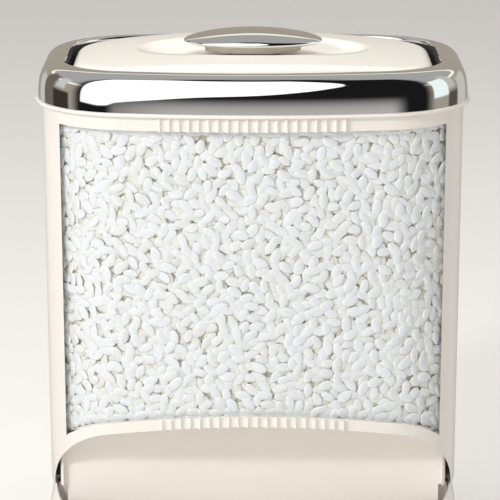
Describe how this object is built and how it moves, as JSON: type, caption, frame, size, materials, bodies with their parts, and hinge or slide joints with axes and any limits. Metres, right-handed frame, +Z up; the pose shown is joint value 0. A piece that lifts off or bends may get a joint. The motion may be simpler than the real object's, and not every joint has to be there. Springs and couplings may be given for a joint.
{
  "type": "rice dispenser with drawer",
  "caption": "Tapered rice bin with a wrap-around window, arched recess, pull-out drawer and a lift-off lid with bright ring and knob.",
  "frame": {"origin": "on the floor, below the middle of the body", "axes": "+X to the right seen from the front, -Y towards the user, +Z up"},
  "size_m": [0.26, 0.182, 0.3256],
  "materials": {
    "cream_shell": "warm cream moulded plastic, satin gloss",
    "cream_lid": "pale cream moulded plastic, glossy",
    "cream_inner": "cream moulded plastic, matt inside",
    "clear_pane": "clear moulded pane",
    "bright_chrome": "bright plating on plastic",
    "satin_neck": "satin plated plastic",
    "base_grey": "grey moulded plastic",
    "rubber": "soft rubber",
    "seal_rubber": "soft white silicone",
    "steel_screw": "zinc plated"
  },
  "bodies": {
    "housing": {"body_shell": "cream_shell", "window_pane": "clear_pane", "pane_frame": "cream_inner", "chute_panel": "cream_inner", "hopper_floor": "cream_inner", "base_plinth": "cream_shell", "base_plate": "base_grey", "rubber_feet": "rubber", "base_screws": "steel_screw", "shell_screws": "steel_screw", "left_runner": "base_grey", "right_runner": "base_grey", "runner_screws": "steel_screw"},
    "drawer": {"drawer_front": "cream_shell", "drawer_tray": "cream_inner", "drawer_screws": "steel_screw", "shutter_plate": "base_grey", "shutter_screws": "steel_screw"},
    "lid": {"lid_ring": "bright_chrome", "lid_panel": "cream_lid", "lid_cover": "cream_inner", "lid_seal": "seal_rubber", "lid_screws": "steel_screw", "knob_neck": "satin_neck", "lid_knob": "bright_chrome", "knob_screws": "steel_screw"}
  },
  "joints": [
    {"name": "lid_lift", "type": "slide", "parent": "housing", "child": "lid", "axis": [0, 0, 1], "range_m": [0, 0.12]},
    {"name": "drawer_slide", "type": "slide", "parent": "housing", "child": "drawer", "axis": [0, -1, 0], "range_m": [0, 0.055]}
  ]
}
